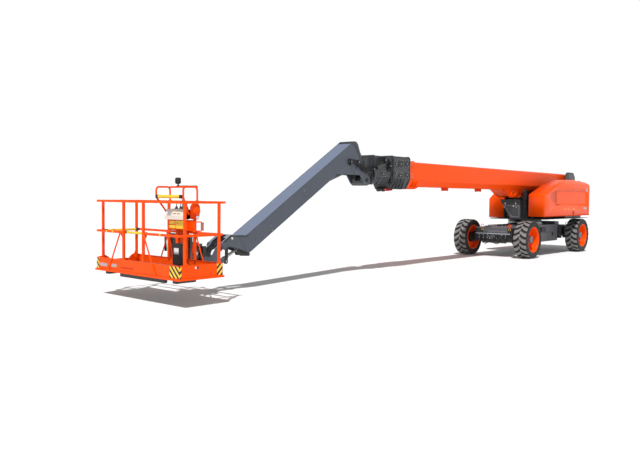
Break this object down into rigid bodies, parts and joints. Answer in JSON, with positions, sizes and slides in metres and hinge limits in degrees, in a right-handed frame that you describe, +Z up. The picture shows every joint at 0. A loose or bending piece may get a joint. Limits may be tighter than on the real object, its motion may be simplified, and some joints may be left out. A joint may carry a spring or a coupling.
{
  "type": "telescopic boom lift",
  "caption": "Wheeled telescopic boom lift: slewing turntable, nested box boom sections, folding jib, levelling yoke and a railed work platform with slide-up gate bars.",
  "frame": {"origin": "on the ground, under the middle of the machine's box at rest", "axes": "+X along the boom towards the platform, +Y the machine's left, +Z up"},
  "size_m": [18.632, 2.494, 3.1178],
  "materials": {
    "black_plastic": "satin",
    "chassis_paint": "satin",
    "console_plastic": "satin",
    "counterweight_iron": "matte",
    "dark_paint": "satin",
    "engine_alloy": "satin",
    "hood_shell": "gloss",
    "jib_paint": "satin",
    "orange_paint": "gloss",
    "rod_chrome": "polished",
    "tyre_rubber": "matte",
    "yellow_paint": "satin"
  },
  "bodies": {
    "chassis": {"chassis_frame": "chassis_paint", "slew_ring": "dark_paint", "front_axle_housing": "dark_paint", "rear_axle_housing": "dark_paint"},
    "turntable": {"turntable_frame": "dark_paint", "turntable_drum": "dark_paint", "counterweight": "counterweight_iron", "hood_left": "hood_shell", "hood_right": "hood_shell", "engine_block": "engine_alloy", "hydraulic_tank": "dark_paint", "front_cover": "dark_paint"},
    "hood_door_left": {"hood_door_left": "hood_shell"},
    "hood_door_right": {"hood_door_right": "hood_shell"},
    "boom_base": {"boom_base": "orange_paint"},
    "boom_section_2": {"boom_section_2": "dark_paint"},
    "boom_section_3": {"boom_section_3": "dark_paint"},
    "boom_section_4": {"boom_section_4": "dark_paint", "boom_head": "dark_paint"},
    "lift_cylinder_barrel": {"lift_cylinder_barrel": "dark_paint"},
    "lift_cylinder_rod": {"lift_cylinder_rod": "rod_chrome"},
    "jib": {"jib": "jib_paint"},
    "jib_cylinder_barrel": {"jib_cylinder_barrel": "dark_paint"},
    "jib_cylinder_rod": {"jib_cylinder_rod": "rod_chrome"},
    "levelling_cylinder_barrel": {"levelling_cylinder_barrel": "dark_paint"},
    "levelling_cylinder_rod": {"levelling_cylinder_rod": "rod_chrome"},
    "levelling_yoke": {"levelling_yoke": "dark_paint", "rotator": "dark_paint"},
    "platform": {"platform_floor": "orange_paint", "platform_lip": "orange_paint", "platform_beams": "dark_paint", "rail_front": "orange_paint", "rail_rear": "orange_paint", "rail_left_end": "orange_paint", "rail_right_end": "orange_paint", "control_console": "console_plastic", "console_box": "orange_paint", "console_support": "orange_paint", "console_guard": "orange_paint", "sensor_bar": "yellow_paint", "document_box": "black_plastic", "rotator_bracket": "dark_paint"},
    "gate_bar_front": {"gate_bar_front": "yellow_paint"},
    "gate_bar_right": {"gate_bar_right": "yellow_paint"},
    "axle_end_front_left": {"axle_beam_front_left": "dark_paint"},
    "knuckle_front_left": {"steering_knuckle_front_left": "dark_paint"},
    "wheel_front_left": {"tyre_front_left": "tyre_rubber", "rim_front_left": "orange_paint"},
    "axle_end_front_right": {"axle_beam_front_right": "dark_paint"},
    "knuckle_front_right": {"steering_knuckle_front_right": "dark_paint"},
    "wheel_front_right": {"tyre_front_right": "tyre_rubber", "rim_front_right": "orange_paint"},
    "axle_end_rear_left": {"axle_beam_rear_left": "dark_paint"},
    "knuckle_rear_left": {"steering_knuckle_rear_left": "dark_paint"},
    "wheel_rear_left": {"tyre_rear_left": "tyre_rubber", "rim_rear_left": "orange_paint"},
    "axle_end_rear_right": {"axle_beam_rear_right": "dark_paint"},
    "knuckle_rear_right": {"steering_knuckle_rear_right": "dark_paint"},
    "wheel_rear_right": {"tyre_rear_right": "tyre_rubber", "rim_rear_right": "orange_paint"}
  },
  "joints": [
    {"name": "extend_front_left", "type": "slide", "parent": "chassis", "child": "axle_end_front_left", "axis": [0, 1, 0], "range_m": [0, 0.47]},
    {"name": "steer_front_left", "type": "hinge", "parent": "axle_end_front_left", "child": "knuckle_front_left", "pos_m": [-4.036, 0.7, 0.5775], "axis": [0, 0, 1], "range_deg": [-28, 28]},
    {"name": "wheel_front_left", "type": "hinge", "parent": "knuckle_front_left", "child": "wheel_front_left", "pos_m": [-4.036, 1.0225, 0.5775], "axis": [0, 1, 0], "continuous": true},
    {"name": "extend_front_right", "type": "slide", "parent": "chassis", "child": "axle_end_front_right", "axis": [0, -1, 0], "range_m": [0, 0.47]},
    {"name": "steer_front_right", "type": "hinge", "parent": "axle_end_front_right", "child": "knuckle_front_right", "pos_m": [-4.036, -0.7, 0.5775], "axis": [0, 0, 1], "range_deg": [-28, 28]},
    {"name": "wheel_front_right", "type": "hinge", "parent": "knuckle_front_right", "child": "wheel_front_right", "pos_m": [-4.036, -1.0225, 0.5775], "axis": [0, 1, 0], "continuous": true},
    {"name": "extend_rear_left", "type": "slide", "parent": "chassis", "child": "axle_end_rear_left", "axis": [0, 1, 0], "range_m": [0, 0.47]},
    {"name": "steer_rear_left", "type": "hinge", "parent": "axle_end_rear_left", "child": "knuckle_rear_left", "pos_m": [-8.096, 0.7, 0.5775], "axis": [0, 0, 1], "range_deg": [-28, 28]},
    {"name": "wheel_rear_left", "type": "hinge", "parent": "knuckle_rear_left", "child": "wheel_rear_left", "pos_m": [-8.096, 1.0225, 0.5775], "axis": [0, 1, 0], "continuous": true},
    {"name": "extend_rear_right", "type": "slide", "parent": "chassis", "child": "axle_end_rear_right", "axis": [0, -1, 0], "range_m": [0, 0.47]},
    {"name": "steer_rear_right", "type": "hinge", "parent": "axle_end_rear_right", "child": "knuckle_rear_right", "pos_m": [-8.096, -0.7, 0.5775], "axis": [0, 0, 1], "range_deg": [-28, 28]},
    {"name": "wheel_rear_right", "type": "hinge", "parent": "knuckle_rear_right", "child": "wheel_rear_right", "pos_m": [-8.096, -1.0225, 0.5775], "axis": [0, 1, 0], "continuous": true},
    {"name": "slew", "type": "hinge", "parent": "chassis", "child": "turntable", "pos_m": [-6.066, 0, 1.07], "axis": [0, 0, 1], "continuous": true},
    {"name": "open_hood_left", "type": "hinge", "parent": "turntable", "child": "hood_door_left", "pos_m": [-6.961, 1.236, 2.096], "axis": [1, 0, 0], "range_deg": [0, 80]},
    {"name": "open_hood_right", "type": "hinge", "parent": "turntable", "child": "hood_door_right", "pos_m": [-7.186, -1.236, 1.786], "axis": [-1, 0, 0], "range_deg": [0, 80]},
    {"name": "luff_boom", "type": "hinge", "parent": "turntable", "child": "boom_base", "pos_m": [-8.966, 0, 2.5], "axis": [0, -1, 0], "range_deg": [0, 75]},
    {"name": "extend_boom_2", "type": "slide", "parent": "boom_base", "child": "boom_section_2", "axis": [1, 0, 0], "range_m": [0, 7.5]},
    {"name": "extend_boom_3", "type": "slide", "parent": "boom_section_2", "child": "boom_section_3", "axis": [1, 0, 0], "range_m": [0, 7.5]},
    {"name": "extend_boom_4", "type": "slide", "parent": "boom_section_3", "child": "boom_section_4", "axis": [1, 0, 0], "range_m": [0, 7.5]},
    {"name": "lift_barrel", "type": "hinge", "parent": "turntable", "child": "lift_cylinder_barrel", "pos_m": [-7.966, 0, 1.39], "axis": [0, -1, 0], "range_deg": [0, 73]},
    {"name": "lift_rod", "type": "slide", "parent": "lift_cylinder_barrel", "child": "lift_cylinder_rod", "axis": [0.9839, 0, 0.1786], "range_m": [0, 1.813]},
    {"name": "jib_luff", "type": "hinge", "parent": "boom_section_4", "child": "jib", "pos_m": [3.064, 0, 2.23], "axis": [0, 1, 0], "range_deg": [-34, 58]},
    {"name": "jib_barrel", "type": "hinge", "parent": "jib", "child": "jib_cylinder_barrel", "pos_m": [5.234, 0, 1.92], "axis": [0, -1, 0], "range_deg": [-4, 6.4]},
    {"name": "jib_rod", "type": "slide", "parent": "jib_cylinder_barrel", "child": "jib_cylinder_rod", "axis": [-0.9485, 0, 0.3169], "range_m": [-0.2, 0.34]},
    {"name": "level_platform", "type": "hinge", "parent": "jib", "child": "levelling_yoke", "pos_m": [7.494, 0, 0.885], "axis": [0, -1, 0], "range_deg": [-60, 58]},
    {"name": "levelling_barrel", "type": "hinge", "parent": "jib", "child": "levelling_cylinder_barrel", "pos_m": [6.234, 0, 1.19], "axis": [0, -1, 0], "range_deg": [-2, 2]},
    {"name": "levelling_rod", "type": "slide", "parent": "levelling_cylinder_barrel", "child": "levelling_cylinder_rod", "axis": [0.885, 0, -0.4656], "range_m": [-0.301, 0.291]},
    {"name": "rotate_platform", "type": "hinge", "parent": "levelling_yoke", "child": "platform", "pos_m": [8.094, 0, 0.775], "axis": [0, 0, 1], "range_deg": [-90, 90]},
    {"name": "lift_gate_bar_front", "type": "slide", "parent": "platform", "child": "gate_bar_front", "axis": [0, 0, 1], "range_m": [0, 0.45]},
    {"name": "lift_gate_bar_right", "type": "slide", "parent": "platform", "child": "gate_bar_right", "axis": [0, 0, 1], "range_m": [0, 0.45]}
  ],
  "couplings": [
    {"joint": "extend_front_right", "follows": "extend_front_left", "ratio": 1},
    {"joint": "steer_front_right", "follows": "steer_front_left", "ratio": 1},
    {"joint": "extend_rear_left", "follows": "extend_front_left", "ratio": 1},
    {"joint": "extend_rear_right", "follows": "extend_front_left", "ratio": 1},
    {"joint": "steer_rear_right", "follows": "steer_rear_left", "ratio": 1},
    {"joint": "extend_boom_3", "follows": "extend_boom_2", "ratio": 1},
    {"joint": "extend_boom_4", "follows": "extend_boom_2", "ratio": 1},
    {"joint": "lift_barrel", "follows": "luff_boom", "ratio": 0.97325},
    {"joint": "lift_rod", "follows": "luff_boom", "m_per_rad": 1.385},
    {"joint": "jib_barrel", "follows": "jib_luff", "ratio": 0.11},
    {"joint": "jib_rod", "follows": "jib_luff", "m_per_rad": 0.32},
    {"joint": "levelling_barrel", "follows": "level_platform", "ratio": 0.01},
    {"joint": "levelling_rod", "follows": "level_platform", "m_per_rad": 0.286}
  ]
}
